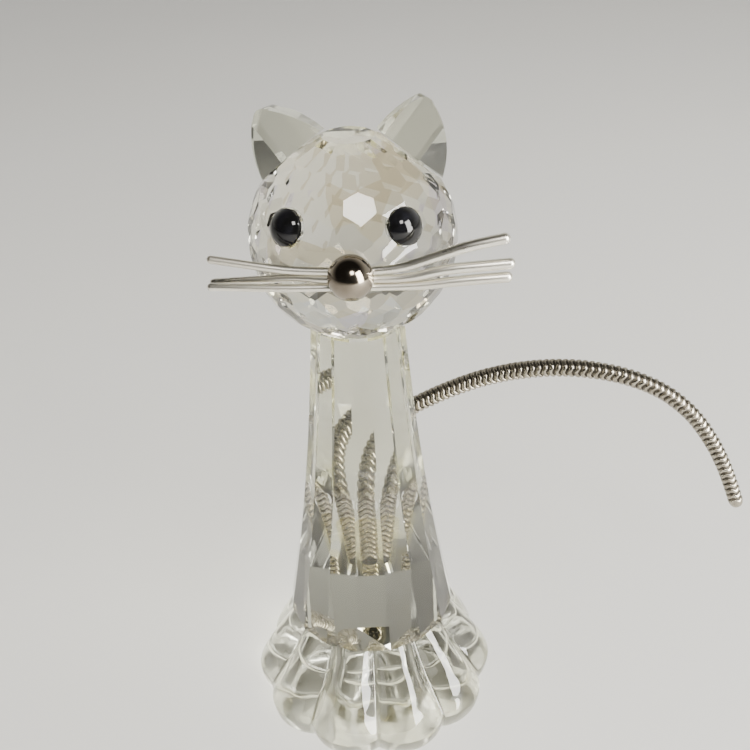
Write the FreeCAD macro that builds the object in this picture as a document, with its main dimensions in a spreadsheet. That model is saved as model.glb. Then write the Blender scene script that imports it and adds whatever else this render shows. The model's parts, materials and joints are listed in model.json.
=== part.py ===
"""A crystal cat figurine: glass base, body, head and ears, with a jointed metal tail.

Millimetres, +Z up. The origin is the middle of the base's underside and the cat faces -Y.
Every driving dimension is a cell of the sheet "dims", and the sub-parts are bound to it.
"""
import FreeCAD, Part
import math
import os

import Sketcher
from FreeCAD import Placement, Rotation, Vector

PARTS_FOLDER = "parts"

# Driving dimensions: alias -> millimetres, degrees or a plain count.
DRIVING = {
    # Moulded base: a low dome of rounded lobes.
    "lobe_count": 10,
    "base_height": 13.0,
    "widest_level": 2.4,
    "lobe_reach": 14.55,
    "notch_reach": 13.2,
    "crown_reach": 7.5,
    "crest_power": 1.16,
    "foot_share": 0.93,
    "groove_width": 0.7,
    "groove_depth": 0.12,
    "groove_start": 2.4,
    "lobe_bulge": 5.2,
    # Clear adhesive films between the glass pieces.
    "film": 0.1,
    # Cut body: long facets, hollow along their length.
    "facet_count": 16,
    "body_height": 38.0,
    "body_foot": 9.55,
    "body_top": 4.75,
    "body_hollow": 335.0,
    "body_blank": 11.0,
    "drill": 1.3,
    "tail_rise": 28.0,
    "tail_anchor": 7.5,
    # Cut ball of the head: rows of flat facets, each row staggered against the next.
    "head_columns": 18,
    "row_step": 12.5,
    "facet_distance": 10.0,
    "head_drop": 9.1,
    "head_blank": 11.6,
    "head_turn": -5.2,
    # Ear stones and the flats that they stand on.
    "ear_seat": 9.4,
    "ear_flat": 4.6,
    "ear_lean": 38.9,
    "ear_setback": 14.0,
    "ear_thickness": 3.4,
    "ear_foot_inner": 4.1,
    "ear_foot_outer": 3.6,
    "ear_tip": 5.0,
    "ear_peak_left": -0.9,
    "ear_peak_right": -2.18,
    # Eyes, nose and whiskers.
    "eye_size": 1.7,
    "eye_wall": 0.65,
    "eye_dome": 0.9,
    "eye_sink": 0.65,
    "eye_azimuth": 36.0,
    "eye_latitude": 24.5,
    "nose_size": 2.05,
    "nose_side": 0.65,
    "nose_rise": 1.25,
    "nose_reach": 11.6,
    "face_flat": 9.85,
    "face_flat_size": 2.9,
    "whisker_size": 0.365,
    "whisker_rise": 0.45,
    # Tail: ball-ended segments in cups.
    "ball": 0.62,
    "cup": 0.66,
    "lip": 0.28,
    "neck": 0.3,
    "shoulder": 0.95,
    "tail_cap": 1.6,
}

# The course of the tail in millimetres, after it has left the drilled hole.
TAIL_COURSE = [
    (2.0, 12.7, 27.8),   # just behind the body, turning to the right
    (8.8, 14.4, 31.5),   # furthest back
    (19.6, 11.2, 36.8),
    (28.0, 8.5, 37.8),   # the crest
    (36.4, 6.3, 34.8),
    (41.8, 4.4, 28.1),
    (44.2, 3.0, 22.4),   # where the rounded cap begins
]
# Short links where the tail turns sharply, long ones after that.
SHORT_LINKS = 5
LONG_LINKS = 11
SHORT_SHARE = 0.62
# How far the first joint lies along the drilled hole's line from the body's axis.
TAIL_START_REACH = 10.1
# The chain keeps its full girth up to this joint, and then thins to the end.
TAIL_GIRTH = 1.12
TAIL_END_GIRTH = 0.88
TAIL_TAPER_FROM = 9

# Whisker wires from left to right in the head's own frame: (x, how far behind the nose's
# plane, height above the middle wire's crossing).
WHISKERS = {
    "whisker_upper": [
        (-11.7, 0.2, 1.95), (-5.0, 0.0, 0.92), (-1.6, 0.0, 0.78),
        (1.8, 0.0, 0.78), (5.0, 0.0, 1.02), (10.8, 0.1, 3.05), (13.9, 0.2, 3.65),
    ],
    "whisker_middle": [
        (-11.9, 1.1, -0.75), (-4.4, 0.5, 0.0), (-1.6, 0.0, 0.0),
        (1.8, 0.0, 0.0), (5.5, 0.0, 0.05), (8.8, 0.0, 0.9), (14.4, 0.2, 1.3),
    ],
    "whisker_lower": [
        (-11.9, -0.15, -0.55), (-5.0, -0.2, -0.74), (-1.6, 0.0, -0.78),
        (1.8, 0.0, -0.78), (6.5, 0.0, -0.68), (10.0, 0.05, -0.25), (14.2, 0.2, 0.0),
    ],
}

doc = FreeCAD.newDocument("crystal_cat")
sheet = doc.addObject("Spreadsheet::Sheet", "dims")
pieces = []


def fill_sheet(cells, first_row=1):
    """Writes aliased cells, one a row, and returns the next free row."""
    for row, (alias, value) in enumerate(cells.items(), start=first_row):
        sheet.set("A%d" % row, alias)
        sheet.set("B%d" % row, str(value))
        sheet.setAlias("B%d" % row, alias)
    doc.recompute()
    return first_row + len(cells)


def number(text):
    """The number that an expression on the sheet gives."""
    return float(sheet.evalExpression(text))


# Frames --------------------------------------------------------------------------------------


def along(direction, start=Vector(0, 0, 0)):
    """A placement whose Z axis runs along a direction."""
    return Placement(start, Rotation(Vector(0, 0, 1), direction))


def compass(azimuth, latitude):
    """The unit vector at an azimuth right of the face (-Y) and a latitude, in degrees."""
    turn = math.radians(azimuth)
    lift = math.radians(latitude)
    flat = math.cos(lift)
    return Vector(flat * math.sin(turn), -flat * math.cos(turn), math.sin(lift))


# PartDesign helpers --------------------------------------------------------------------------


def new_piece(label, kind="PartDesign::Body"):
    """An object that becomes one piece of the figurine."""
    piece = doc.addObject(kind, label)
    piece.Label = label
    pieces.append(piece)
    return piece


def origin_feature(body, role):
    """One of the body's own origin planes or axes."""
    for feature in body.Origin.OriginFeatures:
        if feature.Role == role:
            return feature
    raise RuntimeError("the body has no " + role)


def new_sketch(body, name, role, offset=Placement()):
    """An empty sketch on an origin plane of its body."""
    sketch = body.newObject("Sketcher::SketchObject", name)
    sketch.AttachmentSupport = [(origin_feature(body, role), "")]
    sketch.MapMode = "FlatFace"
    sketch.AttachmentOffset = offset
    return sketch


def name_constraint(sketch, constraint, label, text):
    """Adds a constraint whose value is bound to the sheet."""
    index = sketch.addConstraint(constraint)
    sketch.renameConstraint(index, label)
    sketch.setExpression("Constraints." + label, text)


def pin_point(sketch, edge, end, place, label):
    """Holds a point of an edge at a pair of expressions."""
    for kind, axis, text in (("DistanceX", -2, place[0]), ("DistanceY", -1, place[1])):
        value = number(text)
        if abs(value) < 1e-9:
            sketch.addConstraint(Sketcher.Constraint("PointOnObject", edge, end, axis))
        else:
            constraint = Sketcher.Constraint(kind, edge, end, value)
            name_constraint(sketch, constraint, label + kind[-1], text)


def arc_middle(start, finish, radius, side):
    """The middle of the shorter arc; side 1 bulges right of the way from start to finish."""
    chord = finish - start
    sagitta = radius - math.sqrt(max(radius ** 2 - chord.Length ** 2 / 4, 0))
    if abs(side) == 2:
        sagitta = 2 * radius - sagitta
    right = Vector(chord.y, -chord.x, 0).normalize()
    return (start + finish) * 0.5 + right * math.copysign(sagitta, side)


def draw_loop(sketch, corners, arcs=None, tag=""):
    """One closed outline. Each corner is a pair of expressions. arcs: edge -> (side, radius)."""
    arcs = arcs or {}
    points = [Vector(number(x), number(y), 0) for x, y in corners]
    ends = []
    for place, start in enumerate(points):
        finish = points[(place + 1) % len(points)]
        if place in arcs:
            side, radius = arcs[place]
            middle = arc_middle(start, finish, number(radius), side)
            edge = sketch.addGeometry(Part.Arc(start, middle, finish), False)
        else:
            edge = sketch.addGeometry(Part.LineSegment(start, finish), False)
        swapped = (sketch.getPoint(edge, 1) - start).Length > 1e-6
        ends.append((edge, 2, 1) if swapped else (edge, 1, 2))
    for place, (edge, near, far) in enumerate(ends):
        next_edge, next_near, _ = ends[(place + 1) % len(ends)]
        sketch.addConstraint(Sketcher.Constraint("Coincident", edge, far, next_edge, next_near))
        pin_point(sketch, edge, near, corners[place], "%scorner%d" % (tag, place))
    for place, (_, radius) in arcs.items():
        constraint = Sketcher.Constraint("Radius", ends[place][0], number(radius))
        name_constraint(sketch, constraint, "%sarc%d" % (tag, place), radius)


def draw_circle(sketch, radius, centre=("0", "0")):
    """One full circle."""
    middle = Vector(number(centre[0]), number(centre[1]), 0)
    circle = Part.Circle(middle, Vector(0, 0, 1), number(radius))
    edge = sketch.addGeometry(circle, False)
    pin_point(sketch, edge, 3, centre, "centre")
    name_constraint(sketch, Sketcher.Constraint("Radius", edge, number(radius)), "radius", radius)


def pad(body, sketch, length, middle=False):
    """Grows a sketch into a solid."""
    feature = body.newObject("PartDesign::Pad", sketch.Name + "_pad")
    feature.Profile = sketch
    feature.Midplane = middle
    feature.setExpression("Length", length)
    return feature


def pocket(body, sketch, length, middle=False, outward=True):
    """Cuts a sketch's shape away; outward cuts along the sketch's own normal."""
    feature = body.newObject("PartDesign::Pocket", sketch.Name + "_cut")
    feature.Profile = sketch
    feature.Midplane = middle
    feature.Reversed = outward
    feature.setExpression("Length", length)
    return feature


def turn_solid(body, sketch):
    """Turns a half outline about the sketch's upright axis."""
    feature = body.newObject("PartDesign::Revolution", sketch.Name + "_turned")
    feature.Profile = sketch
    feature.ReferenceAxis = (sketch, ["V_Axis"])
    feature.Angle = 360
    return feature


def repeat_around(body, feature, count):
    """Repeats a cut all the way round the body's Z axis."""
    pattern = body.newObject("PartDesign::PolarPattern", feature.Name + "_round")
    pattern.Originals = [feature]
    pattern.Axis = (origin_feature(body, "Z_Axis"), [""])
    pattern.Angle = 360
    pattern.setExpression("Occurrences", count)
    body.Tip = pattern
    return pattern


def check_cut(body, work):
    """Runs a step that cuts, and stops the build if nothing was removed."""
    doc.recompute()
    before = body.Shape.Volume
    work()
    doc.recompute()
    if body.Shape.Volume > before - 1e-3:
        raise RuntimeError("a cut removed nothing from " + body.Label)


def disc(label, radius, length, place, centre=("0", "0")):
    """A plain round film or plug."""
    body = new_piece(label)
    sketch = new_sketch(body, label + "_outline", "XY_Plane")
    draw_circle(sketch, radius, centre)
    pad(body, sketch, length)
    body.Placement = place
    return body


# Glass pieces --------------------------------------------------------------------------------


def lobe_ring(sketch, scale):
    """The outline of all lobes at one level: arcs that meet in notches."""
    step = 360.0 / DRIVING["lobe_count"]
    corners = []
    for index in range(DRIVING["lobe_count"]):
        angle = index * step - 90
        reach = "dims.notch_reach * " + scale
        corners.append(("%s * cos(%g)" % (reach, angle), "%s * sin(%g)" % (reach, angle)))
    arcs = {}
    for index in range(DRIVING["lobe_count"]):
        arcs[index] = (1, "dims.lobe_bulge * " + scale)
    draw_loop(sketch, corners, arcs)


def make_base():
    """The moulded base: lobed rings lofted from the foot to the crown, with grooves beneath."""
    body = new_piece("base")
    sketches = [base_ring(body, 0, "0", "dims.foot_share")]
    for index, share in enumerate((0.0, 0.2, 0.4, 0.6, 0.8, 1.0), start=1):
        level = "dims.widest_level + (dims.base_height - dims.widest_level) * %g" % share
        shrink = "(1 - %g ^ dims.crest_power) ^ (1 / dims.crest_power)" % share
        reach = "dims.crown_reach + (dims.lobe_reach - dims.crown_reach) * " + shrink
        sketches.append(base_ring(body, index, level, "(%s) / dims.lobe_reach" % reach))
    loft = body.newObject("PartDesign::AdditiveLoft", "base_loft")
    loft.Profile = sketches[0]
    loft.Sections = sketches[1:]
    loft.Ruled = False
    body.Tip = loft
    half = "dims.groove_width / 2"
    start = Placement(Vector(0, 0, DRIVING["groove_start"]), Rotation())
    groove = new_sketch(body, "base_groove", "XZ_Plane", start)
    draw_loop(groove, [("-" + half, "0"), (half, "0"), ("0", "dims.groove_depth")])

    def cut_grooves():
        cut = pocket(body, groove, "dims.lobe_reach")
        repeat_around(body, cut, "dims.lobe_count")

    check_cut(body, cut_grooves)


def base_ring(body, index, level, scale):
    """One lobed outline of the base at a level."""
    offset = Placement(Vector(0, 0, number(level)), Rotation())
    sketch = new_sketch(body, "base_ring%d" % index, "XY_Plane", offset)
    sketch.setExpression("AttachmentOffset.Base.z", level)
    lobe_ring(sketch, "%.6f" % number(scale))
    return sketch


def make_body(level, anchor, tail_line):
    """The cut body: a blank with sixteen long hollow facets and a drilled hole for the tail."""
    body = new_piece("body")
    blank = new_sketch(body, "body_blank", "XY_Plane")
    draw_circle(blank, "dims.body_blank")
    pad(body, blank, "dims.body_height")
    flute = new_sketch(body, "body_flute", "XZ_Plane")
    corners = [
        ("dims.body_foot", "0"),
        ("dims.body_top", "dims.body_height"),
        ("dims.body_top", "dims.body_height + 1"),
        ("dims.body_blank * 2", "dims.body_height + 1"),
        ("dims.body_blank * 2", "-1"),
        ("dims.body_foot", "-1"),
    ]
    draw_loop(flute, corners, {0: (-1, "dims.body_hollow")})

    def cut_facets():
        cut = pocket(body, flute, "dims.body_blank * 4", middle=True)
        repeat_around(body, cut, "dims.facet_count")

    check_cut(body, cut_facets)
    hole = new_sketch(body, "body_hole", "XY_Plane", along(tail_line, anchor))
    draw_circle(hole, "dims.drill")
    check_cut(body, lambda: pocket(body, hole, "dims.body_blank * 2"))
    body.Placement = Placement(Vector(0, 0, level), Rotation())


def facet_outline(rows):
    """The outside of a row set's tangent polygon, from the top axis down the right side.

    rows are multiples of row_step, evenly spaced, and the corners lie midway between them.
    """
    reach = "dims.facet_distance / cos(dims.row_step)"
    top = "dims.facet_distance / sin(dims.row_step * %d)" % rows[-1]
    corners = [("0", top)]
    for low, high in reversed(list(zip(rows, rows[1:]))):
        middle = (low + high) // 2
        angle = "dims.row_step * %d" % middle
        corners.append(("%s * cos(%s)" % (reach, angle), "%s * sin(%s)" % (reach, angle)))
    corners.append(("0", "-" + top))
    far = "dims.head_blank * 2"
    corners += [("0", "-" + far), (far, "-" + far), (far, far), ("0", far)]
    return corners


def cut_round_recess(body, name, radius, place, depth="dims.head_blank"):
    """A flat-bottomed round cut whose floor lies on the XY plane of a placement."""
    sketch = new_sketch(body, name, "XY_Plane", place)
    draw_circle(sketch, radius)
    check_cut(body, lambda: pocket(body, sketch, depth))


def make_head(place, seats):
    """The cut ball: two staggered sets of facet rows, then the flats and eye recesses."""
    body = new_piece("head")
    blank = new_sketch(body, "head_blank", "XY_Plane")
    blank.setExpression("AttachmentOffset.Base.z", "-dims.head_drop")
    draw_circle(blank, "dims.head_blank")
    pad(body, blank, "dims.head_drop + dims.facet_distance")
    half_column = 180.0 / DRIVING["head_columns"]
    row_sets = [("even", [-4, -2, 0, 2, 4], 0.0), ("odd", [-5, -3, -1, 1, 3, 5], half_column)]
    for name, rows, turn in row_sets:
        offset = Placement(Vector(0, 0, 0), Rotation(Vector(0, 1, 0), turn + 90))
        sketch = new_sketch(body, "head_" + name, "XZ_Plane", offset)
        draw_loop(sketch, facet_outline(rows))

        def cut_rows(outline=sketch):
            cut = pocket(body, outline, "dims.head_blank * 4", middle=True)
            repeat_around(body, cut, "dims.head_columns")

        check_cut(body, cut_rows)
    for name, radius, seat in seats:
        cut_round_recess(body, name, radius, seat)
    body.Placement = place


def make_ear(label, side, peak, place):
    """A flat ear stone: a leaning leaf outline with bevelled edges. side is 1 right, -1 left."""
    body = new_piece(label)
    sign = "%d" % side
    outline = new_sketch(body, label + "_leaf", "XZ_Plane")
    corners = [
        ("-dims.ear_foot_inner * " + sign, "dims.film"),
        ("dims.ear_foot_outer * " + sign, "dims.film"),
        ("(%s + 0.68) * %s" % (peak, sign), "dims.ear_tip"),
        ("(%s - 0.68) * %s" % (peak, sign), "dims.ear_tip - 0.4"),
    ]
    arcs = {1: (side, "8.8"), 2: (side, "0.9"), 3: (side, "10.9")}
    draw_loop(outline, corners, arcs)
    pad(body, outline, "dims.ear_thickness", middle=True)
    bevels = new_sketch(body, label + "_bevels", "XY_Plane")
    for name, near, far, edge in (("outer", "0.5", "4.4", "0.15"), ("inner", "-2.6", "-4.7", "0.55")):
        for face, front in (("front", "-1"), ("back", "1")):
            skin = "dims.ear_thickness / 2 * " + front
            rim = edge + " * " + front
            beyond = "dims.ear_thickness * " + front
            loop = [
                (near + " * " + sign, skin),
                (far + " * " + sign, rim),
                (far + " * " + sign, beyond),
                (near + " * " + sign, beyond),
            ]
            draw_loop(bevels, loop, tag=name + face)
    check_cut(body, lambda: pocket(body, bevels, "dims.ear_tip * 4", middle=True))
    body.Placement = place


# Face ----------------------------------------------------------------------------------------


def make_eye(label, place):
    """A black domed stone with a short straight wall."""
    body = new_piece(label)
    sketch = new_sketch(body, label + "_half", "XZ_Plane")
    corners = [
        ("0", "dims.film"),
        ("dims.eye_size", "dims.film"),
        ("dims.eye_size", "dims.film + dims.eye_wall"),
        ("0", "dims.film + dims.eye_wall + dims.eye_dome"),
    ]
    dome = "(dims.eye_size ^ 2 + dims.eye_dome ^ 2) / (2 * dims.eye_dome)"
    draw_loop(sketch, corners, {2: (1, dome)})
    turn_solid(body, sketch)
    body.Placement = place


def primitive(kind, name, sizes, place):
    """A Part primitive with its sizes bound to the sheet."""
    thing = doc.addObject(kind, name)
    for prop, text in sizes.items():
        thing.setExpression(prop, text)
    thing.Placement = place
    return thing


def make_nose(place):
    """A metal ball with a flat back and a slot that the three wires pass through."""
    centre = Vector(DRIVING["nose_side"], -DRIVING["nose_reach"], DRIVING["nose_rise"])
    ball = primitive("Part::Sphere", "nose_ball", {"Radius": "dims.nose_size"}, Placement(centre, Rotation()))
    back_plane = DRIVING["face_flat"] + DRIVING["film"]
    span = 3 * DRIVING["nose_size"]
    back_sizes = {"Length": "3 * dims.nose_size", "Width": "dims.nose_size", "Height": "3 * dims.nose_size"}
    back_corner = Vector(centre.x - span / 2, -back_plane, centre.z - span / 2)
    back = primitive("Part::Box", "nose_back", back_sizes, Placement(back_corner, Rotation()))
    wires_high = 6 * DRIVING["whisker_size"] + 0.12
    slot_sizes = {
        "Length": "3 * dims.nose_size",
        "Width": "2 * dims.whisker_size + 0.01",
        "Height": "6 * dims.whisker_size + 0.12",
    }
    slot_deep = 2 * DRIVING["whisker_size"] + 0.01
    slot_corner = Vector(centre.x - span / 2, -back_plane - slot_deep, DRIVING["whisker_rise"] - wires_high / 2)
    slot = primitive("Part::Box", "nose_slot", slot_sizes, Placement(slot_corner, Rotation()))
    removed = doc.addObject("Part::MultiFuse", "nose_removed")
    removed.Shapes = [back, slot]
    nose = new_piece("nose", "Part::Cut")
    nose.Base = ball
    nose.Tool = removed
    nose.Placement = place


def rounded_wire(points):
    """Straight runs joined by tangent arcs, each arc as large as its two runs allow."""
    edges = []
    cursor = points[0]
    for before, corner, after in zip(points, points[1:], points[2:]):
        incoming = (corner - before)
        outgoing = (after - corner)
        cut = 0.45 * min(incoming.Length, outgoing.Length)
        first = corner - incoming.normalize() * cut
        last = corner + outgoing.normalize() * cut
        half_turn = incoming.getAngle(outgoing) / 2
        radius = cut / math.tan(half_turn)
        inward = (outgoing - incoming).normalize()
        middle = corner + inward * (radius / math.cos(half_turn) - radius)
        edges.append(Part.LineSegment(cursor, first).toShape())
        edges.append(Part.Arc(first, middle, last).toShape())
        cursor = last
    edges.append(Part.LineSegment(cursor, points[-1]).toShape())
    return Part.Wire(edges)


def make_whisker(label, route, place):
    """One bent wire with rounded ends, from the left cheek to the right behind the nose."""
    radius = number("dims.whisker_size")
    plane = number("dims.face_flat + dims.film + dims.whisker_size")
    rise = number("dims.whisker_rise")
    points = [Vector(x, -plane + back, rise + up) for x, back, up in route]
    path = rounded_wire(points)
    ring = Part.Wire([Part.Circle(points[0], points[1] - points[0], radius).toShape()])
    wire = path.makePipeShell([ring], True, False)
    for tip in (points[0], points[-1]):
        wire = wire.fuse(Part.makeSphere(radius, tip))
    piece = new_piece(label, "Part::Feature")
    piece.Shape = wire.removeSplitter()
    piece.Placement = place


# Tail ----------------------------------------------------------------------------------------


def segment_outline(name, girth, end_girth, reach, ball_end):
    """Half outline of a segment: a cup at its start, a wall, and a ball or a flat end."""
    corners = [
        ("0", "dims.cup"),
        ("sqrt(dims.cup ^ 2 - dims.lip ^ 2)", "-dims.lip"),
        (girth, "-dims.lip"),
    ]
    arcs = {0: (-1, "dims.cup")}
    if not ball_end:
        return corners + [(end_girth, reach), ("0", reach)], arcs
    return corners + ball_corners(end_girth, reach), {**arcs, len(corners) + 2: (1, "dims.ball")}


def ball_corners(girth, reach):
    """The end of a wall with its shoulder, neck and ball; the ball's centre is at reach."""
    return [
        (girth, "%s - dims.shoulder" % reach),
        ("dims.neck", "%s - dims.shoulder" % reach),
        ("dims.neck", "%s - sqrt(dims.ball ^ 2 - dims.neck ^ 2)" % reach),
        ("0", "%s + dims.ball" % reach),
    ]


def tail_points():
    """Every joint of the tail, spaced along one smooth line, and the last link's end."""
    anchor = Vector(0, 0, BODY_LEVEL + DRIVING["tail_anchor"])
    first = anchor + TAIL_LINE * TAIL_START_REACH
    course = [first] + [Vector(*point) for point in TAIL_COURSE]
    line = Part.BSplineCurve()
    line.interpolate(course)
    shares = [SHORT_SHARE] * SHORT_LINKS + [1.0] * LONG_LINKS
    unit = line.length() / sum(shares)
    points = []
    travelled = 0.0
    for share in [0.0] + shares:
        travelled += share * unit
        points.append(line.value(line.parameterAtDistance(travelled)))
    return points


def tail_cells(points):
    """The sheet's cells for the tail: each segment's reach and the girth at each joint."""
    cells = {"root_reach": TAIL_START_REACH}
    for index in range(len(points) - 1):
        cells["reach_%02d" % (index + 1)] = round((points[index + 1] - points[index]).Length, 4)
    last = len(points) - 1
    for index in range(len(points)):
        share = max(0.0, (index - TAIL_TAPER_FROM) / (last - TAIL_TAPER_FROM))
        girth = TAIL_GIRTH + (TAIL_END_GIRTH - TAIL_GIRTH) * share
        cells["girth_%02d" % index] = round(girth, 4)
    return cells


def make_tail(points, anchor_place):
    """The fixed root in the body, the jointed segments and the rounded cap on the last."""
    root = new_piece("tail_root")
    sketch = new_sketch(root, "tail_root_half", "XZ_Plane")
    corners = [("0", "dims.film"), ("dims.girth_00", "dims.film")]
    corners += ball_corners("dims.girth_00", "dims.root_reach")
    draw_loop(sketch, corners, {4: (1, "dims.ball")})
    turn_solid(root, sketch)
    root.Placement = anchor_place
    last = len(points) - 1
    for index in range(1, len(points)):
        label = "tail_segment_%02d" % index
        girth = "dims.girth_%02d" % (index - 1)
        end_girth = "dims.girth_%02d" % index
        reach = "dims.reach_%02d" % index
        segment = new_piece(label)
        half = new_sketch(segment, label + "_half", "XZ_Plane")
        draw_loop(half, *segment_outline(label, girth, end_girth, reach, index < last))
        turn_solid(segment, half)
        start, finish = points[index - 1], points[index]
        segment.Placement = along(finish - start, start)
    cap = new_piece("tail_cap")
    half = new_sketch(cap, "tail_cap_half", "XZ_Plane")
    edge = "dims.girth_%02d" % last
    dome = "(%s ^ 2 + dims.tail_cap ^ 2) / (2 * dims.tail_cap)" % edge
    draw_loop(half, [("0", "0"), (edge, "0"), ("0", "dims.tail_cap")], {1: (1, dome)})
    turn_solid(cap, half)
    cap.Placement = along(points[-1] - points[-2], points[-1])


def make_tail_adhesive(anchor_place):
    """The clear sleeve that holds the tail's root in its drilled hole."""
    outer = primitive(
        "Part::Cylinder", "sleeve_outer", {"Radius": "dims.drill", "Height": "8"}, Placement()
    )
    core_place = Placement(Vector(0, 0, DRIVING["film"]), Rotation())
    core = primitive(
        "Part::Cylinder", "sleeve_core", {"Radius": "dims.girth_00", "Height": "9"}, core_place
    )
    sleeve = new_piece("tail_adhesive", "Part::Cut")
    sleeve.Base = outer
    sleeve.Tool = core
    sleeve.Placement = anchor_place


# Assembly ------------------------------------------------------------------------------------

BODY_LEVEL = DRIVING["base_height"] + DRIVING["film"]
NECK_LEVEL = BODY_LEVEL + DRIVING["body_height"]
HEAD_LEVEL = NECK_LEVEL + DRIVING["film"] + DRIVING["head_drop"]
HEAD_PLACE = Placement(Vector(0, 0, HEAD_LEVEL), Rotation(Vector(0, 0, 1), DRIVING["head_turn"]))
TAIL_LINE = Vector(
    0, math.cos(math.radians(DRIVING["tail_rise"])), math.sin(math.radians(DRIVING["tail_rise"]))
)


def ear_seat(side):
    """The flat that an ear stands on: Z out of the ball, X towards the ear's outer edge."""
    lean = math.radians(DRIVING["ear_lean"])
    back = math.radians(DRIVING["ear_setback"])
    out = Vector(
        side * math.sin(lean) * math.cos(back), math.sin(back), math.cos(lean) * math.cos(back)
    )
    across = Vector(math.cos(lean), 0, -side * math.sin(lean))
    turn = Rotation(across, out.cross(across), out, "ZXY")
    return Placement(out * DRIVING["ear_seat"], turn)


def eye_seat(side):
    """The floor of an eye's recess."""
    out = compass(side * DRIVING["eye_azimuth"], DRIVING["eye_latitude"])
    return along(out, out * (DRIVING["facet_distance"] - DRIVING["eye_sink"]))


def face_seat():
    """The flat behind the nose and the wires."""
    centre = Vector(DRIVING["nose_side"], -DRIVING["face_flat"], DRIVING["nose_rise"] * 0.8)
    return along(Vector(0, -1, 0), centre)


def build():
    """Makes every piece in its place."""
    next_row = fill_sheet(DRIVING)
    points = tail_points()
    fill_sheet(tail_cells(points), next_row)
    anchor = Vector(0, 0, DRIVING["tail_anchor"])
    sides = (("left", -1), ("right", 1))

    make_base()
    disc("base_adhesive", "dims.crown_reach * 0.9", "dims.film", raised(DRIVING["base_height"]))
    make_body(BODY_LEVEL, anchor, TAIL_LINE)
    disc("neck_adhesive", "4.3", "dims.film", raised(NECK_LEVEL))

    seats = [("face_flat", "dims.face_flat_size", face_seat())]
    for name, side in sides:
        seats.append(("ear_flat_" + name, "dims.ear_flat", ear_seat(side)))
        seats.append(("eye_recess_" + name, "dims.eye_size + dims.film", eye_seat(side)))
    make_head(HEAD_PLACE, seats)

    for name, side in sides:
        ear_place = HEAD_PLACE.multiply(ear_seat(side))
        make_ear("ear_" + name, side, "dims.ear_peak_" + name, ear_place)
        disc("ear_adhesive_" + name, "1.5", "dims.film", ear_place)
        eye_place = HEAD_PLACE.multiply(eye_seat(side))
        make_eye("eye_" + name, eye_place)
        disc("eye_adhesive_" + name, "dims.eye_size", "dims.film", eye_place)

    make_nose(HEAD_PLACE)
    pad_centre = Vector(DRIVING["nose_side"], -DRIVING["face_flat"], DRIVING["nose_rise"])
    nose_pad = HEAD_PLACE.multiply(along(Vector(0, -1, 0), pad_centre))
    disc("nose_adhesive", "1.2", "dims.film", nose_pad)
    for label, route in WHISKERS.items():
        make_whisker(label, route, HEAD_PLACE)

    anchor_place = along(TAIL_LINE, Vector(0, 0, BODY_LEVEL + DRIVING["tail_anchor"]))
    make_tail_adhesive(anchor_place)
    make_tail(points, anchor_place)
    doc.recompute()


def raised(level):
    """A placement that lifts a piece to a level."""
    return Placement(Vector(0, 0, level), Rotation())


def check_document():
    """Stops the build if any object failed or any piece isn't one valid solid."""
    for thing in doc.Objects:
        if "Invalid" in thing.State or "Error" in thing.State:
            raise RuntimeError("%s failed: %s" % (thing.Label, thing.State))
    for piece in pieces:
        shape = piece.Shape
        if shape.isNull() or not shape.isValid():
            raise RuntimeError("%s has no valid shape" % piece.Label)
        if len(shape.Solids) != 1:
            raise RuntimeError("%s is %d solids" % (piece.Label, len(shape.Solids)))


def write_pieces():
    """Writes each piece to a file of its own name."""
    os.makedirs(PARTS_FOLDER, exist_ok=True)
    for piece in pieces:
        piece.Shape.exportStep(os.path.join(PARTS_FOLDER, piece.Label + ".step"))
        box = piece.Shape.BoundBox
        print("%-20s %8.2f mm3  z %.2f..%.2f" % (piece.Label, piece.Shape.Volume, box.ZMin, box.ZMax))


def list_joints(points):
    """Prints the tail's joints, for the record of moving parts."""
    for index, point in enumerate(points):
        print("tail joint %2d  %.4f %.4f %.4f" % (index, point.x, point.y, point.z))


build()
check_document()
write_pieces()
list_joints(tail_points())
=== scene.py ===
"""The looks of a cut crystal cat with a snake-chain tail, on a plain pale table."""
import json
import math

import bmesh
import bpy
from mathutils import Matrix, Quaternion, Vector


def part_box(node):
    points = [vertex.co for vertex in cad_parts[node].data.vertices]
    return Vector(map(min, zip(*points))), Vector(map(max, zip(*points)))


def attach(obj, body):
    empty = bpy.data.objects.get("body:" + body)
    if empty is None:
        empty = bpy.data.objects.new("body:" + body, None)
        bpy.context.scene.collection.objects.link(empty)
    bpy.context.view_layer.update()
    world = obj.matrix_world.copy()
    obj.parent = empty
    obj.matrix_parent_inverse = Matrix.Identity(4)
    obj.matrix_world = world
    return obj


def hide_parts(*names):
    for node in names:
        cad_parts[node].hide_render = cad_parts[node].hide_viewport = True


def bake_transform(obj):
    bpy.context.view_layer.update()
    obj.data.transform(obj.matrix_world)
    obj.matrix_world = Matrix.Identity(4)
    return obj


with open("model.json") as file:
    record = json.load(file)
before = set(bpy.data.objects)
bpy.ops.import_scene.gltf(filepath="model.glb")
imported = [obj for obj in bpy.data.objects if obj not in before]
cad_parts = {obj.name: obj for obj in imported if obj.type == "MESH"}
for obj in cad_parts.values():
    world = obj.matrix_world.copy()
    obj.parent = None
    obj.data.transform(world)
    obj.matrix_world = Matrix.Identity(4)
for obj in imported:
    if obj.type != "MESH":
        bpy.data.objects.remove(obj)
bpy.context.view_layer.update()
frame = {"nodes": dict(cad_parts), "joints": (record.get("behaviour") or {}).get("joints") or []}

MM = 0.001

# Heights of the main levels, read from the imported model.
BASE_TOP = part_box("base")[1].z
BODY_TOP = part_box("body")[1].z

# Glass.
CRYSTAL_IOR = 1.58
# The glass's yellowish grey is darker than clear crystal: painted shade that dims all that is seen through
# it.
GLASS_TINT_AND_SHADE = (0.66, 0.665, 0.565)
PATCHES_PER_METRE = 330.0
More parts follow.
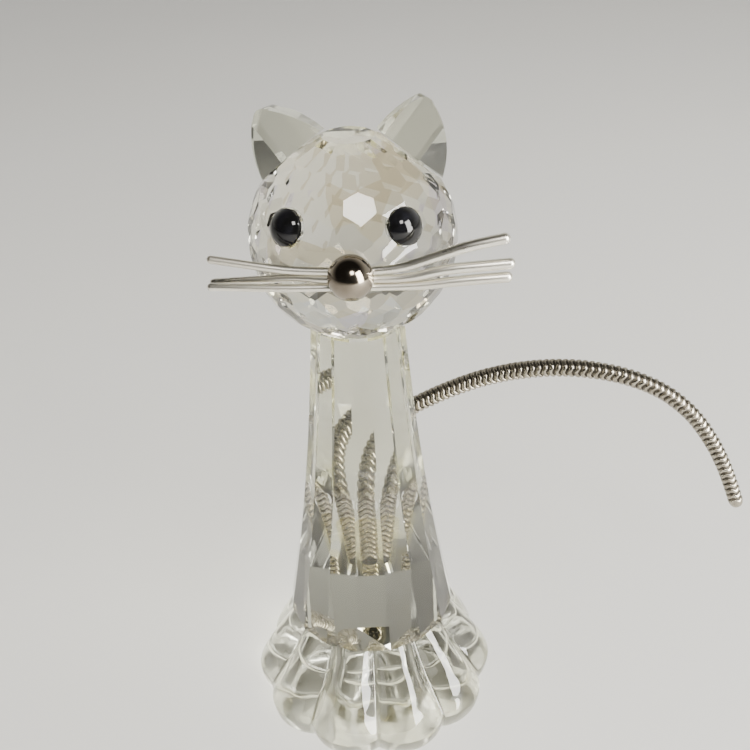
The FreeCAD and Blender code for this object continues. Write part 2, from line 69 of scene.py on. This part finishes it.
# Painted coloured glints and darker patches of painted shade on the cut ball, standing in for light split
# into colours inside it: start and colour.
PAINTED_GLINT_COLOURS = [
    (0.0, (0.84, 0.83, 0.76)),
    (0.30, (0.95, 0.91, 0.78)),
    (0.46, (0.52, 0.42, 0.25)),
    (0.60, (0.86, 0.87, 0.90)),
    (0.74, (0.48, 0.47, 0.43)),
    (0.87, (0.66, 0.58, 0.80)),
]

# The moulded base.
LOBES = 10
LOBE_TIP = 14.5 * MM
LOBE_BULGE = 5.16 * MM
CROWN_REACH = 7.5 * MM
CREST_POWER = 1.16
VALLEY_SINK = 1.6 * MM
WIDEST = 2.4 * MM
RIM_ROUND = 1.0 * MM
GROOVE_HALF = 0.35 * MM
GROOVE_DEPTH = 0.12 * MM
GROOVE_START = 2.4 * MM

# The drilled hole and the adhesive in it.
HOLE_RISE = 28.0
HOLE_DEPTH = 10.0 * MM
HOLE_WALL = 1.35 * MM
SLEEVE_RADIUS = 1.6 * MM

# How much thicker the whiskers' right ends are, on each side.
WIRE_SWELL = 0.12 * MM

# The snake chain.
CHAIN_RADIUS = 1.08 * MM
CHAIN_TIP_RADIUS = 0.86 * MM
RING_PITCH = 0.74 * MM
RING_WAVE = 0.13 * MM
RING_WAVES = 4
TAPER_FROM = 0.58
TIP_CAP = 1.25 * MM
CHAIN_STEPS_ROUND = 32

# The room's brightness falls off in this direction.
TOWARDS_DARK = (-0.2, -0.6, 0.77)

# The camera, in millimetres and degrees.
CAMERA_PLACE = (0, -89.2, 100.4)
CAMERA_TARGET = (1.56, 0, 44.2)
CAMERA_LENS = 48.0
CAMERA_ROLL = -2.4


# Node helpers --------------------------------------------------------------------------------


def new_material(name):
    """A material with an empty Principled shader: (material, nodes, links, shader)."""
    material = bpy.data.materials.new(name)
    material.use_nodes = True
    nodes = material.node_tree.nodes
    links = material.node_tree.links
    shader = nodes["Principled BSDF"]
    return material, nodes, links, shader


def add_noise(nodes, links, scale, detail=3.0, stretch=None):
    """Noise in the object's own space, as large as scale per metre."""
    place = nodes.new("ShaderNodeTexCoord")
    noise = nodes.new("ShaderNodeTexNoise")
    noise.inputs["Scale"].default_value = scale
    noise.inputs["Detail"].default_value = detail
    if stretch:
        mapping = nodes.new("ShaderNodeMapping")
        mapping.inputs["Scale"].default_value = stretch
        links.new(place.outputs["Object"], mapping.inputs["Vector"])
        links.new(mapping.outputs["Vector"], noise.inputs["Vector"])
    else:
        links.new(place.outputs["Object"], noise.inputs["Vector"])
    return noise


def add_ramp(nodes, links, source, stops):
    """A colour ramp over a value; stops are (position, colour)."""
    ramp = nodes.new("ShaderNodeValToRGB")
    elements = ramp.color_ramp.elements
    while len(elements) < len(stops):
        elements.new(0.5)
    for element, (position, colour) in zip(elements, stops):
        element.position = position
        element.color = (*colour, 1.0)
    links.new(source, ramp.inputs["Fac"])
    return ramp


def grey(value):
    """A colour of equal parts."""
    return (value, value, value)


def add_bump(nodes, links, source, shader, strength, distance):
    """Bump from a value into the shader's normal."""
    bump = nodes.new("ShaderNodeBump")
    bump.inputs["Strength"].default_value = strength
    bump.inputs["Distance"].default_value = distance
    links.new(source, bump.inputs["Height"])
    links.new(bump.outputs["Normal"], shader.inputs["Normal"])


# Materials -----------------------------------------------------------------------------------


def crystal_material(name, waviness, colour=GLASS_TINT_AND_SHADE, painted_glints=0.0):
    """Clear crystal: waviness, dull smudges and, where asked, patches of painted coloured glints and
    painted shade.
    """
    material, nodes, links, shader = new_material(name)
    shader.inputs["Transmission Weight"].default_value = 1.0
    shader.inputs["IOR"].default_value = CRYSTAL_IOR
    smudge = add_noise(nodes, links, 260.0, 4.0)
    dull = add_ramp(nodes, links, smudge.outputs["Fac"], [(0.62, grey(0.0)), (0.85, grey(0.05))])
    links.new(dull.outputs["Color"], shader.inputs["Roughness"])
    tint = add_noise(nodes, links, 60.0, 2.0)
    warm = tuple(channel * share for channel, share in zip(colour, (1.0, 0.985, 0.93)))
    shade = add_ramp(nodes, links, tint.outputs["Fac"], [(0.35, colour), (0.7, warm)])
    links.new(shade.outputs["Color"], shader.inputs["Base Color"])
    # Painted glints: pale, coloured and dark patches that stand in for light split into colours and shade
    # inside the cut ball.
    if painted_glints:
        patch = nodes.new("ShaderNodeTexVoronoi")
        patch.inputs["Scale"].default_value = PATCHES_PER_METRE
        place = nodes.new("ShaderNodeTexCoord")
        links.new(place.outputs["Object"], patch.inputs["Vector"])
        pick = nodes.new("ShaderNodeSeparateColor")
        links.new(patch.outputs["Color"], pick.inputs["Color"])
        hues = add_ramp(nodes, links, pick.outputs["Red"], PAINTED_GLINT_COLOURS)
        hues.color_ramp.interpolation = "CONSTANT"
        mix = nodes.new("ShaderNodeMix")
        mix.data_type = "RGBA"
        mix.inputs["Factor"].default_value = painted_glints
        links.new(shade.outputs["Color"], mix.inputs["A"])
        links.new(hues.outputs["Color"], mix.inputs["B"])
        links.new(mix.outputs["Result"], shader.inputs["Base Color"])
    if waviness:
        wave = add_noise(nodes, links, 230.0, 1.0)
        add_bump(nodes, links, wave.outputs["Fac"], shader, waviness, 0.6 * MM)
    return material


def ground_material(name):
    """The underside, ground flat after moulding and a little less clear than the rest."""
    material, nodes, links, shader = new_material(name)
    shader.inputs["Transmission Weight"].default_value = 1.0
    shader.inputs["IOR"].default_value = CRYSTAL_IOR
    # The underside takes the same darkened yellowish grey, painted shade on the glass.
    shader.inputs["Base Color"].default_value = (*GLASS_TINT_AND_SHADE, 1.0)
    grain = add_noise(nodes, links, 1400.0, 4.0)
    satin = add_ramp(nodes, links, grain.outputs["Fac"], [(0.3, grey(0.06)), (0.7, grey(0.14))])
    links.new(satin.outputs["Color"], shader.inputs["Roughness"])
    return material


def sleeve_material(name):
    """Pale yellow adhesive, a little cloudy, seamless with the glass round it."""
    material, nodes, links, shader = new_material(name)
    shader.inputs["Transmission Weight"].default_value = 0.985
    shader.inputs["IOR"].default_value = 1.0
    shader.inputs["Roughness"].default_value = 0.0
    cloud = add_noise(nodes, links, 500.0, 3.0)
    stops = [(0.35, (0.97, 0.94, 0.74)), (0.7, (0.93, 0.88, 0.62))]
    shade = add_ramp(nodes, links, cloud.outputs["Fac"], stops)
    links.new(shade.outputs["Color"], shader.inputs["Base Color"])
    return material


def joined_material(name):
    """A glued face between two pieces of glass: light goes straight through it."""
    material, nodes, links, shader = new_material(name)
    shader.inputs["Transmission Weight"].default_value = 1.0
    shader.inputs["IOR"].default_value = 1.0
    shader.inputs["Roughness"].default_value = 0.0
    bubbles = add_noise(nodes, links, 900.0, 2.0)
    stops = [(0.3, (1.0, 1.0, 1.0)), (0.75, (1.0, 0.995, 0.975))]
    shade = add_ramp(nodes, links, bubbles.outputs["Fac"], stops)
    links.new(shade.outputs["Color"], shader.inputs["Base Color"])
    return material


def metal_material(name, bright, dark, rough, scale, stretch=None):
    """A polished or drawn metal with fine streaks and tarnish."""
    material, nodes, links, shader = new_material(name)
    shader.inputs["Metallic"].default_value = 1.0
    tarnish = add_noise(nodes, links, scale, 5.0, stretch)
    shade = add_ramp(nodes, links, tarnish.outputs["Fac"], [(0.3, dark), (0.62, bright)])
    links.new(shade.outputs["Color"], shader.inputs["Base Color"])
    low, high = rough
    worn = add_ramp(nodes, links, tarnish.outputs["Fac"], [(0.3, grey(high)), (0.7, grey(low))])
    links.new(worn.outputs["Color"], shader.inputs["Roughness"])
    add_bump(nodes, links, tarnish.outputs["Fac"], shader, 0.15, 0.02 * MM)
    return material


def black_material(name):
    """Polished black stone with a hard gloss and the faintest cloudiness."""
    material, nodes, links, shader = new_material(name)
    shader.inputs["IOR"].default_value = 1.45
    cloud = add_noise(nodes, links, 700.0, 3.0)
    stops = [(0.4, grey(0.003)), (0.8, (0.010, 0.010, 0.013))]
    shade = add_ramp(nodes, links, cloud.outputs["Fac"], stops)
    links.new(shade.outputs["Color"], shader.inputs["Base Color"])
    worn = add_ramp(nodes, links, cloud.outputs["Fac"], [(0.4, grey(0.04)), (0.8, grey(0.12))])
    links.new(worn.outputs["Color"], shader.inputs["Roughness"])
    return material


def table_material(name):
    """A plain pale matt surface."""
    material, nodes, links, shader = new_material(name)
    shader.inputs["Roughness"].default_value = 0.7
    cloud = add_noise(nodes, links, 6.0, 3.0)
    stops = [(0.3, (0.63, 0.62, 0.59)), (0.7, (0.66, 0.65, 0.62))]
    shade = add_ramp(nodes, links, cloud.outputs["Fac"], stops)
    links.new(shade.outputs["Color"], shader.inputs["Base Color"])
    return material


CRYSTAL = crystal_material("cut_crystal", 0.0)
BALL_CRYSTAL = crystal_material("ball_crystal", 0.0, GLASS_TINT_AND_SHADE, 0.65)
MOULDED = crystal_material("moulded_crystal", 0.6)
JOINED = joined_material("glued_face")
GROUND = ground_material("ground_foot")
SLEEVE = sleeve_material("sleeve_adhesive")
GLUE = crystal_material("clear_adhesive", 0.1, (0.95, 0.93, 0.78))
BLACK = black_material("black_stone")
NOSE = metal_material("nose_metal", (0.30, 0.26, 0.21), (0.20, 0.17, 0.135), (0.06, 0.2), 500.0)
WIRE = metal_material(
    "whisker_wire", (0.88, 0.85, 0.76), (0.70, 0.66, 0.57), (0.26, 0.4), 900.0, (0.1, 1.0, 1.0)
)
CHAIN = metal_material("chain_rings", (0.44, 0.405, 0.335), (0.26, 0.23, 0.18), (0.2, 0.34), 1500.0)
# The core's near-black metal is painted shade: it darkens the gaps between the rings, where the chain's
# inside lies in shade.
CHAIN_CORE_PAINTED_SHADE = metal_material("chain_core_painted_shade", (0.10, 0.09, 0.075), (0.04, 0.035, 0.03), (0.4, 0.6), 900.0)


# Mesh helpers --------------------------------------------------------------------------------


def new_object(name, mesh, *materials):
    """An object with its materials, in the scene."""
    thing = bpy.data.objects.new(name, mesh)
    bpy.context.scene.collection.objects.link(thing)
    for material in materials:
        mesh.materials.append(material)
    return thing


def mesh_from(name, vertices, faces, smooth=True):
    """A mesh from vertices and faces."""
    mesh = bpy.data.meshes.new(name)
    mesh.from_pydata(vertices, [], faces)
    mesh.update()
    for polygon in mesh.polygons:
        polygon.use_smooth = smooth
    return mesh


def paint(node, *materials):
    """Gives a CAD node new materials; the first is on every face."""
    mesh = frame["nodes"][node].data
    mesh.materials.clear()
    for material in materials:
        mesh.materials.append(material)
    for polygon in mesh.polygons:
        polygon.material_index = 0


def join_faces(node, is_joined):
    """Puts the second material on the faces that a test picks by their centre and normal."""
    for polygon in frame["nodes"][node].data.polygons:
        if is_joined(polygon.center, polygon.normal):
            polygon.material_index = 1


# Glass pieces --------------------------------------------------------------------------------


def lobe_reach(turn, reach):
    """The outline's distance at an angle from a lobe's middle: circles side by side."""
    bulge = LOBE_BULGE * reach / LOBE_TIP
    centre = reach - bulge
    across = centre * math.sin(turn)
    return centre * math.cos(turn) + math.sqrt(max(0.0, bulge * bulge - across * across))


def groove_level(turn, reach):
    """The height of the underside at a distance from the middle: sharp radial grooves."""
    aside = reach * math.sin(math.pi / LOBES - abs(turn))
    if reach < GROOVE_START or aside > GROOVE_HALF:
        return 0.0
    return GROOVE_DEPTH * (1.0 - aside / GROOVE_HALF)


def base_rings():
    """(reach, height) of the base's rings from the crown down to the foot and in beneath it."""
    rings = []
    crest_levels = 34
    for level in range(crest_levels + 1):
        angle = level / crest_levels * math.pi / 2
        out = math.sin(angle) ** (2 / CREST_POWER)
        up = math.cos(angle) ** (2 / CREST_POWER)
        rings.append((CROWN_REACH + (LOBE_TIP - CROWN_REACH) * out, WIDEST + (BASE_TOP - WIDEST) * up))
    rim_levels = 8
    for level in range(1, rim_levels + 1):
        angle = level / rim_levels * math.pi / 2
        rings.append((LOBE_TIP - RIM_ROUND * (1 - math.cos(angle)), WIDEST * (1 - math.sin(angle))))
    foot = rings[-1][0]
    under_levels = 14
    for level in range(1, under_levels + 1):
        rings.append((foot + (GROOVE_START - foot) * level / under_levels, 0.0))
    return rings


def make_base():
    """The moulded glass base: domed petals from the crown to a rounded rim, grooved beneath."""
    around = LOBES * 24
    rings = base_rings()
    vertices = []
    for reach, height in rings:
        for step in range(around):
            angle = 2 * math.pi * step / around - math.pi / 2
            turn = ((step / around * LOBES) % 1.0 - 0.5) * 2 * math.pi / LOBES
            out = lobe_reach(turn, reach)
            valley = 1.0 - math.cos(turn * LOBES / 2)
            along = (reach - CROWN_REACH) / (LOBE_TIP - CROWN_REACH)
            sink = VALLEY_SINK * valley * math.sin(math.pi * along) if height > WIDEST else 0.0
            level = max(height - sink, groove_level(turn, out))
            vertices.append((out * math.cos(angle), out * math.sin(angle), level))
    faces = []
    for level in range(len(rings) - 1):
        for step in range(around):
            after = (step + 1) % around
            first = level * around
            second = (level + 1) * around
            faces.append((first + step, second + step, second + after, first + after))
    top = len(vertices)
    vertices.append((0, 0, BASE_TOP))
    vertices.append((0, 0, 0))
    last = (len(rings) - 1) * around
    for step in range(around):
        after = (step + 1) % around
        faces.append((top, step, after))
        faces.append((top + 1, last + after, last + step))
    mesh = mesh_from("base_glass", vertices, faces)
    base = new_object("base_glass", mesh, MOULDED, GROUND)
    for polygon in mesh.polygons:
        if polygon.center.z < GROOVE_DEPTH and abs(polygon.normal.z) > 0.3:
            polygon.material_index = 1
    for polygon in mesh.polygons:
        if abs(polygon.normal.z) > 0.999:
            polygon.use_smooth = False
    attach(base, "figure")
    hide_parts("base")
    base.visible_shadow = False


def dress_glass():
    """Crystal on the cut pieces, with the neck and the drilled hole seen straight through."""
    paint("body", CRYSTAL, JOINED)
    paint("head", BALL_CRYSTAL, JOINED)
    for node in ("ear_left", "ear_right"):
        paint(node, CRYSTAL)
    flat = 1e-5

    def body_joint(centre, normal):
        return abs(centre.z - BODY_TOP) < flat or in_hole(centre)

    join_faces("body", body_joint)
    head_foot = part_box("head")[0].z
    join_faces("head", lambda centre, normal: abs(centre.z - head_foot) < flat)
    make_film("base_film", "base_adhesive", GLUE)
    make_film("neck_film", "neck_adhesive", JOINED)
    make_sleeve()
    for node in frame["nodes"]:
        if node.startswith(("ear_adhesive", "eye_adhesive", "nose_adhesive")):
            paint(node, GLUE)
        if node in ("body", "head") or node.startswith("ear_") or "adhesive" in node:
            frame["nodes"][node].visible_shadow = False


def make_tube(name, start, line, profile, around, *materials):
    """A closed turned shape. profile holds (distance along the line, radius)."""
    side = line.cross(Vector((1, 0, 0)))
    if side.length < 0.1:
        side = line.cross(Vector((0, 1, 0)))
    side.normalize()
    up = line.cross(side)
    vertices, faces = [], []
    for along, radius in profile:
        for step in range(around):
            angle = 2 * math.pi * step / around
            vertices.append(start + line * along + (side * math.cos(angle) + up * math.sin(angle)) * radius)
    for row in range(len(profile) - 1):
        for step in range(around):
            after = (step + 1) % around
            low = row * around
            high = low + around
            faces.append((low + step, low + after, high + after, high + step))
    faces.append(tuple(reversed(range(around))))
    faces.append(tuple(range(len(vertices) - around, len(vertices))))
    return new_object(name, mesh_from(name, vertices, faces, smooth=False), *materials)


def make_film(name, node, material):
    """An adhesive film that stands just free of the two faces that it joins."""
    low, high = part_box(node)
    radius = (high.x - low.x) / 2 * 0.98
    gap = (high.z - low.z) * 0.2
    profile = [(0, radius), (high.z - low.z - 2 * gap, radius)]
    start = Vector((0, 0, low.z + gap))
    film = make_tube(name, start, Vector((0, 0, 1)), profile, 64, material)
    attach(film, "figure")
    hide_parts(node)
    film.visible_shadow = False


def make_sleeve():
    """The yellowish adhesive round the chain in the drilled hole."""
    start, line = hole_line()
    depth = (TAIL_JOINTS[0] - start).length
    profile = [
        (-depth * 0.80, SLEEVE_RADIUS * 0.8),
        (-depth * 0.74, SLEEVE_RADIUS),
        (depth * 0.30, SLEEVE_RADIUS),
    ]
    sleeve = make_tube("tail_sleeve", start, line, profile, 32, SLEEVE)
    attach(sleeve, "figure")
    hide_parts("tail_adhesive")
    sleeve.visible_shadow = False


def hole_line():
    """A point on the drilled hole's axis and its direction out of the body."""
    start = (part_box("tail_adhesive")[0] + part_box("tail_adhesive")[1]) / 2
    return start, (TAIL_JOINTS[0] - start).normalized()


def in_hole(point):
    """Whether a point is on the wall or the end of the drilled hole."""
    start, line = hole_line()
    away = point - start
    return (away - line * away.dot(line)).length < HOLE_WALL


# Tail ----------------------------------------------------------------------------------------


def tail_joints():
    """The places of the tail's joints, in order."""
    return [Vector(joint["pos_m"]) for joint in frame["joints"]]


TAIL_JOINTS = tail_joints()


def tail_route():
    """A smooth line from the hole's end through every joint to the tip, as close points."""
    rise = math.radians(HOLE_RISE)
    line = Vector((0, math.cos(rise), math.sin(rise)))
    start = TAIL_JOINTS[0] - line * HOLE_DEPTH
    low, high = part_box("tail_cap")
    cap = (low + high) / 2
    last_run = (cap - TAIL_JOINTS[-1]).normalized()
    end = TAIL_JOINTS[-1] + last_run * ((cap - TAIL_JOINTS[-1]).length + 0.75 * MM)
    knots = [start, (start + TAIL_JOINTS[0]) / 2] + TAIL_JOINTS + [end]
    points = []
    for index in range(len(knots) - 1):
        before = knots[max(index - 1, 0)]
        here, there = knots[index], knots[index + 1]
        after = knots[min(index + 2, len(knots) - 1)]
        steps = 40
        for step in range(steps):
            points.append(spline_point(before, here, there, after, step / steps))
    points.append(end)
    return points


def spline_point(before, here, there, after, share):
    """A point of a centripetal Catmull-Rom spline between two knots."""
    pairs = ((before, here), (here, there), (there, after))
    gaps = [max((b - a).length, 1e-9) ** 0.5 for a, b in pairs]
    if before == here:
        before = here - (there - here)
        gaps[0] = gaps[1]
    if after == there:
        after = there + (there - here)
        gaps[2] = gaps[1]
    t0, t1 = 0.0, gaps[0]
    t2 = t1 + gaps[1]
    t3 = t2 + gaps[2]
    t = t1 + (t2 - t1) * share
    a1 = before.lerp(here, (t - t0) / (t1 - t0))
    a2 = here.lerp(there, (t - t1) / (t2 - t1))
    a3 = there.lerp(after, (t - t2) / (t3 - t2))
    b1 = a1.lerp(a2, (t - t0) / (t2 - t0))
    b2 = a2.lerp(a3, (t - t1) / (t3 - t1))
    return b1.lerp(b2, (t - t1) / (t2 - t1))


class Route:
    """A line of close points with a steady frame, addressed by length."""

    def __init__(self, points):
        self.points = points
        self.lengths = [0.0]
        for a, b in zip(points, points[1:]):
            self.lengths.append(self.lengths[-1] + (b - a).length)
        self.total = self.lengths[-1]
        side = Vector((1, 0, 0))
        self.sides = []
        for index in range(len(points)):
            run = self.run(index)
            side = (side - run * side.dot(run)).normalized()
            self.sides.append(side.copy())

    def run(self, index):
        """The direction of the line at a point."""
        low = max(index - 1, 0)
        high = min(index + 1, len(self.points) - 1)
        return (self.points[high] - self.points[low]).normalized()

    def at(self, length):
        """(place, run, side, up) at a length; beyond the ends the line goes on straight."""
        inside = min(max(length, 0.0), self.total)
        low, high = 0, len(self.lengths) - 1
        while high - low > 1:
            middle = (low + high) // 2
            if self.lengths[middle] <= inside:
                low = middle
            else:
                high = middle
        share = (inside - self.lengths[low]) / max(self.lengths[high] - self.lengths[low], 1e-12)
        place = self.points[low].lerp(self.points[high], share)
        run = self.run(low).lerp(self.run(high), share).normalized()
        side = self.sides[low].lerp(self.sides[high], share)
        side = (side - run * side.dot(run)).normalized()
        return place + run * (length - inside), run, side, run.cross(side)

    def length_of(self, point):
        """The length at which the line is nearest to a point."""
        index = min(range(len(self.points)), key=lambda i: (self.points[i] - point).length)
        return self.lengths[index]


def chain_radius(length, total):
    """The chain's radius at a length: even, then thinner over the last part."""
    share = max(0.0, (length / total - TAPER_FROM) / (1.0 - TAPER_FROM))
    return CHAIN_RADIUS + (CHAIN_TIP_RADIUS - CHAIN_RADIUS) * share


def ring_grid(route, middle, radius, profile, around, vertices, faces, wave):
    """Adds one band round the route. profile holds (offset along, radius share)."""
    first = len(vertices)
    for offset, share in profile:
        for step in range(around):
            angle = 2 * math.pi * step / around
            shift = wave * math.cos(RING_WAVES * angle)
            place, run, side, up = route.at(middle + offset + shift)
            out = side * math.cos(angle) + up * math.sin(angle)
            vertices.append(place + out * radius * share)
    for row in range(len(profile) - 1):
        for step in range(around):
            after = (step + 1) % around
            low = first + row * around
            high = low + around
            faces.append((low + step, low + after, high + after, high + step))


def make_tail():
    """The chain as wavy rings over a core darkened with painted shade, in one piece for each joint."""
    route = Route(tail_route())
    joint_lengths = [route.length_of(joint) for joint in TAIL_JOINTS]
    ends = [0.0]
    for a, b in zip(joint_lengths, joint_lengths[1:]):
        ends.append((a + b) / 2)
    ends.append((joint_lengths[-1] + route.total) / 2)
    ends.append(route.total)
    rings = int(route.total / RING_PITCH) - 1
    pitch = route.total / (rings + 1)
    bodies = ["figure"] + ["tail_link_%02d" % number for number in range(1, len(TAIL_JOINTS) + 1)]
    edge = [(-0.34, 0.80), (-0.31, 0.93), (-0.2, 0.985)]
    band = edge + [(0.0, 1.0)] + [(-offset, share) for offset, share in reversed(edge)]
    band = [(offset * pitch, share) for offset, share in band]
    around = CHAIN_STEPS_ROUND
    for index in range(len(ends) - 1):
        start, end = ends[index], ends[index + 1]
        vertices, faces = [], []
        for ring in range(rings):
            middle = (ring + 0.5) * pitch
            if start <= middle < end and middle < route.total - 1.0 * MM:
                radius = chain_radius(middle, route.total)
                ring_grid(route, middle, radius, band, around, vertices, faces, RING_WAVE)
        ring_faces = len(faces)
        steps = max(2, int((end - start) / (0.3 * MM)))
        core = []
        for step in range(steps + 1):
            length = start + (end - start) * step / steps
            core.append(length)
        add_core(route, core, around, vertices, faces)
        name = "tail_chain_%02d" % index
        mesh = mesh_from(name, vertices, faces)
        for number, polygon in enumerate(mesh.polygons):
            polygon.material_index = 0 if number < ring_faces else 1
        piece = new_object(name, mesh, CHAIN, CHAIN_CORE_PAINTED_SHADE)
        if index < len(TAIL_JOINTS):
            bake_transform(piece)
            nodes = ["tail_root"] if index == 0 else ["tail_segment_%02d" % index]
            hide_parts(*nodes)
        else:
            make_tip(route)
            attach(piece, bodies[-1])
            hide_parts("tail_segment_%02d" % index)


def add_core(route, lengths, around, vertices, faces):
    """Adds the tube that shows between the rings, dark with painted shade where the chain's inside lies in
    shade.
    """
    first = len(vertices)
    for length in lengths:
        place, run, side, up = route.at(min(length, route.total - 1.0 * MM))
        radius = chain_radius(length, route.total) * 0.84
        for step in range(around):
            angle = 2 * math.pi * step / around
            vertices.append(place + (side * math.cos(angle) + up * math.sin(angle)) * radius)
    for row in range(len(lengths) - 1):
        for step in range(around):
            after = (step + 1) % around
            low = first + row * around
            high = low + around
            faces.append((low + step, low + after, high + after, high + step))


def make_tip(route):
    """The rounded end cap of the chain."""
    vertices, faces = [], []
    profile = [(0.0, 0.84), (0.02, 0.98), (0.35, 0.97), (0.6, 0.86)]
    profile += [(0.8, 0.68), (0.93, 0.42), (1.0, 0.08)]
    length = TIP_CAP
    band = [(offset * length, share) for offset, share in profile]
    start = route.total - length
    ring_grid(route, start, CHAIN_TIP_RADIUS, band, CHAIN_STEPS_ROUND, vertices, faces, 0.0)
    top = len(vertices)
    vertices.append(route.at(route.total)[0])
    low = top - CHAIN_STEPS_ROUND
    for step in range(CHAIN_STEPS_ROUND):
        faces.append((low + step, low + (step + 1) % CHAIN_STEPS_ROUND, top))
    tip = new_object("tail_tip", mesh_from("tail_tip", vertices, faces), CHAIN)
    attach(tip, "tail_link_%02d" % len(TAIL_JOINTS))
    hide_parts("tail_cap")


# Face ----------------------------------------------------------------------------------------


def dress_face():
    """Black stones, dark nose and bright wires."""
    for side in ("left", "right"):
        paint("eye_" + side, BLACK)
    paint("nose", NOSE)
    for node in ("whisker_upper", "whisker_middle", "whisker_lower"):
        make_wire(node)


def make_wire(node):
    """A whisker that follows its CAD wire and is drawn a little thicker towards the right."""
    source = frame["nodes"][node]
    source.data.update()
    vertices, merged, places = [], {}, []
    for vertex in source.data.vertices:
        key = tuple(round(value / (0.001 * MM)) for value in vertex.co)
        if key not in merged:
            merged[key] = len(vertices)
            vertices.append(vertex.co.copy())
        places.append(merged[key])
    faces = []
    for polygon in source.data.polygons:
        corners = [places[index] for index in polygon.vertices]
        if len(set(corners)) == len(corners):
            faces.append(corners)
    mesh = mesh_from(node + "_wire", vertices, faces)
    normals = [vertex.normal.copy() for vertex in mesh.vertices]
    for vertex, normal in zip(mesh.vertices, normals):
        share = min(1.0, max(0.0, (vertex.co.x - 2.5 * MM) / (7.0 * MM)))
        vertex.co += normal * WIRE_SWELL * share
    mesh.update()
    wire = new_object(node + "_wire", mesh, WIRE)
    wire.matrix_world = source.matrix_world
    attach(wire, "figure")
    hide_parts(node)


# Surroundings --------------------------------------------------------------------------------


def make_table():
    """A plain pale surface under the figurine."""
    size = 3.0
    corners = [(-size, -size, 0), (size, -size, 0), (size, size, 0), (-size, size, 0)]
    mesh = mesh_from("table", corners, [(0, 1, 2, 3)], smooth=False)
    table = new_object("table", mesh, table_material("pale_table"))
    table.location.z = -0.02 * MM


def add_light(name, place, size, power, colour=(1.0, 1.0, 1.0), target=(0, 0, 0.045)):
    """A soft rectangular lamp that faces a point."""
    data = bpy.data.lights.new(name, "AREA")
    data.shape = "RECTANGLE"
    data.size, data.size_y = size
    data.energy = power
    data.color = colour
    lamp = bpy.data.objects.new(name, data)
    bpy.context.scene.collection.objects.link(lamp)
    lamp.location = place
    lamp.rotation_euler = (Vector(target) - Vector(place)).to_track_quat("-Z", "Y").to_euler()
    return lamp


def light_scene():
    """A room with a pale back, dark ceiling and front, a window and a small lamp."""
    world = bpy.data.worlds.new("room")
    bpy.context.scene.world = world
    world.use_nodes = True
    nodes, links = world.node_tree.nodes, world.node_tree.links
    place = nodes.new("ShaderNodeTexCoord")
    tilt = nodes.new("ShaderNodeVectorMath")
    tilt.operation = "DOT_PRODUCT"
    tilt.inputs[1].default_value = TOWARDS_DARK
    links.new(place.outputs["Generated"], tilt.inputs[0])
    spread = nodes.new("ShaderNodeMapRange")
    spread.inputs["From Min"].default_value = -1.0
    links.new(tilt.outputs["Value"], spread.inputs["Value"])
    room = add_ramp(nodes, links, spread.outputs["Result"], [
        (0.25, (1.0, 0.99, 0.92)), (0.48, (0.72, 0.71, 0.65)),
        (0.62, (0.26, 0.25, 0.22)), (0.74, (0.03, 0.028, 0.025)),
    ])
    links.new(room.outputs["Color"], nodes["Background"].inputs["Color"])
    nodes["Background"].inputs["Strength"].default_value = 1.0
    world.cycles_visibility.diffuse = False
    add_light("window", (0.36, -0.30, 0.20), (0.24, 0.50), 11.0, (1.0, 0.99, 0.95))
    add_light("front_lamp", (0.07, -0.32, 0.42), (0.12, 0.12), 1.2, (1.0, 0.97, 0.92))
    ceiling = add_light("ceiling", (0.0, 0.15, 1.1), (1.4, 1.4), 10.5, (1.0, 0.99, 0.97))
    ceiling.visible_glossy = False
    ceiling.visible_transmission = False


def add_camera():
    """The camera: close, high and slightly rolled."""
    data = bpy.data.cameras.new("camera")
    data.lens = CAMERA_LENS
    data.sensor_width = 36.0
    data.clip_start = 0.005
    camera = bpy.data.objects.new("camera", data)
    bpy.context.scene.collection.objects.link(camera)
    place = Vector(CAMERA_PLACE) * MM
    target = Vector(CAMERA_TARGET) * MM
    look = (target - place).to_track_quat("-Z", "Y")
    roll = Quaternion((0, 0, 1), math.radians(CAMERA_ROLL))
    camera.location = place
    camera.rotation_euler = (look @ roll).to_euler()
    bpy.context.scene.camera = camera


make_base()
dress_glass()
dress_face()
make_tail()
make_table()
light_scene()
add_camera()

scene = bpy.context.scene
scene.cycles.max_bounces = 24
scene.cycles.transmission_bounces = 24
scene.cycles.glossy_bounces = 12
scene.cycles.transparent_max_bounces = 24
